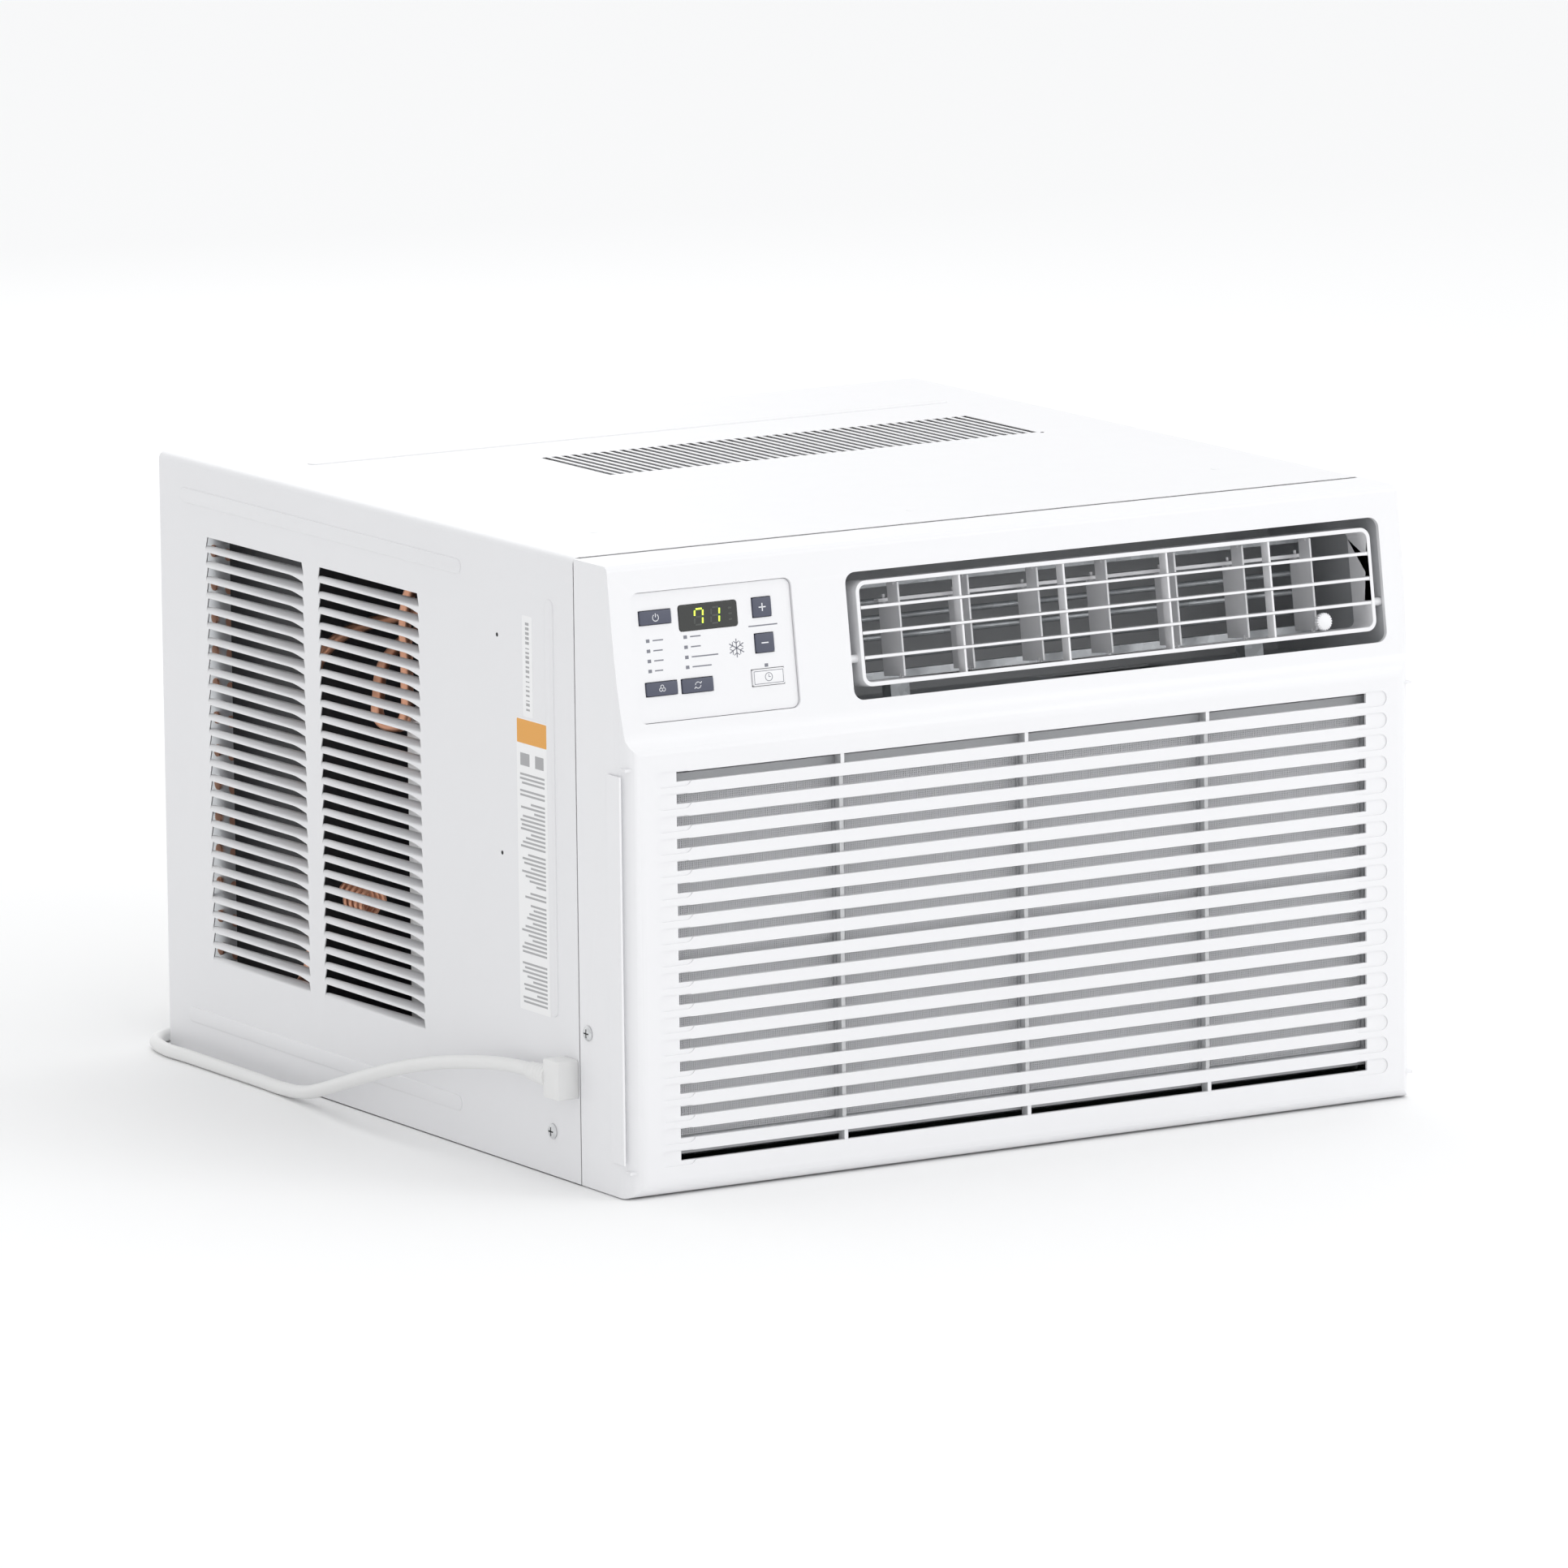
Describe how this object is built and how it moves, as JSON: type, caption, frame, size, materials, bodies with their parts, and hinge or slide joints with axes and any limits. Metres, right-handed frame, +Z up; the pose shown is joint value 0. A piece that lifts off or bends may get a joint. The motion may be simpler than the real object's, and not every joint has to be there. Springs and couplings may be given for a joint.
{
  "type": "window air conditioner",
  "caption": "Box-shaped window air conditioner with a slotted intake grille, tilting outlet louvre, push-button panel, side vents and a white mains lead with plug.",
  "frame": {"origin": "bottom centre of the case's box, on the surface that the base pan's rails stand on", "axes": "+Z up, -Y out of the room-side face, +X to the right as seen from the room"},
  "size_m": [0.6975, 0.832, 0.449],
  "materials": {
    "casing_plastic": "satin, fine moulded grain",
    "casing_steel": "satin enamel",
    "galvanised_steel": "galvanised",
    "grey_plastic": "matt",
    "slate_plastic": "satin",
    "black_plastic": "matt",
    "smoked_window": "polished",
    "foam": "matt expanded foam",
    "copper": "drawn copper tube, slightly dulled",
    "fin_aluminium": "pressed fin stock",
    "black_paint": "satin enamel",
    "rubber": "matt",
    "felt": "needled felt",
    "filter_net": "woven net",
    "circuit_board": "lacquered",
    "bright_steel": "zinc plated",
    "cord_sheath": "smooth white sheath",
    "contact_brass": "bright"
  },
  "bodies": {
    "chassis": {"front_panel": "casing_plastic", "cabinet_wrap": "casing_steel", "rear_guard": "casing_steel", "base_pan": "galvanised_steel", "bulkhead": "galvanised_steel", "outlet_duct": "grey_plastic", "heater_frame": "galvanised_steel", "control_fascia": "casing_plastic", "display_window": "smoked_window", "control_board": "circuit_board", "control_box": "galvanised_steel", "run_capacitor": "fin_aluminium", "evaporator_coil": "fin_aluminium", "blower_scroll": "foam", "fan_motor": "black_paint", "motor_bracket": "galvanised_steel", "fan_shroud": "black_plastic", "condenser_coil": "fin_aluminium", "compressor": "black_paint", "compressor_blanket": "felt", "compressor_grommet_1": "rubber", "compressor_grommet_2": "rubber", "compressor_grommet_3": "rubber", "suction_pipe": "copper", "discharge_pipe": "copper", "capillary_coil": "copper", "panel_screw_left": "bright_steel", "panel_screw_right": "bright_steel", "cabinet_screw_left": "bright_steel", "cabinet_screw_right": "bright_steel", "cord_gland": "cord_sheath", "power_cord": "cord_sheath", "cord_coil": "cord_sheath", "cord_tail": "cord_sheath", "plug": "cord_sheath", "plug_blade_1": "contact_brass", "plug_blade_2": "contact_brass", "plug_earth_pin": "contact_brass"},
    "fan_rotor": {"motor_shaft": "bright_steel", "blower_wheel": "grey_plastic", "condenser_fan": "grey_plastic"},
    "air_filter": {"filter_frame": "grey_plastic", "filter_mesh": "filter_net", "filter_pull": "casing_plastic"},
    "swing": {"swing_louvre": "casing_plastic"},
    "vane_1": {"vane_1": "casing_plastic"},
    "vane_2": {"vane_2": "casing_plastic"},
    "vane_3": {"vane_3": "casing_plastic"},
    "vane_4": {"vane_4": "casing_plastic"},
    "vane_5": {"vane_5": "casing_plastic"},
    "vane_6": {"vane_6": "casing_plastic"},
    "vane_7": {"vane_7": "casing_plastic", "vane_knob": "casing_plastic"},
    "link": {"vane_link": "casing_plastic"},
    "power_button": {"power_button": "slate_plastic"},
    "warmer_button": {"warmer_button": "slate_plastic"},
    "cooler_button": {"cooler_button": "slate_plastic"},
    "fan_button": {"fan_button": "slate_plastic"},
    "mode_button": {"mode_button": "slate_plastic"},
    "timer_button": {"timer_button": "casing_plastic"}
  },
  "joints": [
    {"name": "swing_tilt", "type": "hinge", "parent": "chassis", "child": "swing", "pos_m": [0.087, -0.3228, 0.36568], "axis": [1, 0, 0], "range_deg": [-20, 20]},
    {"name": "fan_spin", "type": "hinge", "parent": "chassis", "child": "fan_rotor", "pos_m": [0.087, -0.05, 0.185], "axis": [0, 1, 0], "continuous": true},
    {"name": "filter_slide", "type": "slide", "parent": "chassis", "child": "air_filter", "axis": [-1, 0, 0], "range_m": [0, 0.56]},
    {"name": "vane_7_turn", "type": "hinge", "parent": "swing", "child": "vane_7", "pos_m": [0.261, -0.30868, 0.37984], "axis": [0, 0.1402, 0.9901], "range_deg": [-30, 30]},
    {"name": "vane_1_turn", "type": "hinge", "parent": "swing", "child": "vane_1", "pos_m": [-0.087, -0.30868, 0.37984], "axis": [0, 0.1402, 0.9901], "range_deg": [-30, 30]},
    {"name": "vane_2_turn", "type": "hinge", "parent": "swing", "child": "vane_2", "pos_m": [-0.029, -0.30868, 0.37984], "axis": [0, 0.1402, 0.9901], "range_deg": [-30, 30]},
    {"name": "vane_3_turn", "type": "hinge", "parent": "swing", "child": "vane_3", "pos_m": [0.029, -0.30868, 0.37984], "axis": [0, 0.1402, 0.9901], "range_deg": [-30, 30]},
    {"name": "vane_4_turn", "type": "hinge", "parent": "swing", "child": "vane_4", "pos_m": [0.087, -0.30868, 0.37984], "axis": [0, 0.1402, 0.9901], "range_deg": [-30, 30]},
    {"name": "vane_5_turn", "type": "hinge", "parent": "swing", "child": "vane_5", "pos_m": [0.145, -0.30868, 0.37984], "axis": [0, 0.1402, 0.9901], "range_deg": [-30, 30]},
    {"name": "vane_6_turn", "type": "hinge", "parent": "swing", "child": "vane_6", "pos_m": [0.203, -0.30868, 0.37984], "axis": [0, 0.1402, 0.9901], "range_deg": [-30, 30]},
    {"name": "link_turn", "type": "hinge", "parent": "vane_7", "child": "link", "pos_m": [0.261, -0.28975, 0.39938], "axis": [0, 0.1402, 0.9901], "range_deg": [-30, 30]},
    {"name": "power_press", "type": "slide", "parent": "chassis", "child": "power_button", "axis": [0, 0.9901, -0.1402], "range_m": [0, 0.001], "stiffness_N_per_m": 800, "springref_m": -0.0005},
    {"name": "warmer_press", "type": "slide", "parent": "chassis", "child": "warmer_button", "axis": [0, 0.9901, -0.1402], "range_m": [0, 0.001], "stiffness_N_per_m": 800, "springref_m": -0.0005},
    {"name": "cooler_press", "type": "slide", "parent": "chassis", "child": "cooler_button", "axis": [0, 0.9901, -0.1402], "range_m": [0, 0.001], "stiffness_N_per_m": 800, "springref_m": -0.0005},
    {"name": "fan_press", "type": "slide", "parent": "chassis", "child": "fan_button", "axis": [0, 0.9901, -0.1402], "range_m": [0, 0.001], "stiffness_N_per_m": 800, "springref_m": -0.0005},
    {"name": "mode_press", "type": "slide", "parent": "chassis", "child": "mode_button", "axis": [0, 0.9901, -0.1402], "range_m": [0, 0.001], "stiffness_N_per_m": 800, "springref_m": -0.0005},
    {"name": "timer_press", "type": "slide", "parent": "chassis", "child": "timer_button", "axis": [0, 0.9901, -0.1402], "range_m": [0, 0.001], "stiffness_N_per_m": 800, "springref_m": -0.0005}
  ],
  "couplings": [
    {"joint": "vane_1_turn", "follows": "vane_7_turn", "ratio": 1},
    {"joint": "vane_2_turn", "follows": "vane_7_turn", "ratio": 1},
    {"joint": "vane_3_turn", "follows": "vane_7_turn", "ratio": 1},
    {"joint": "vane_4_turn", "follows": "vane_7_turn", "ratio": 1},
    {"joint": "vane_5_turn", "follows": "vane_7_turn", "ratio": 1},
    {"joint": "vane_6_turn", "follows": "vane_7_turn", "ratio": 1},
    {"joint": "link_turn", "follows": "vane_7_turn", "ratio": -1}
  ]
}
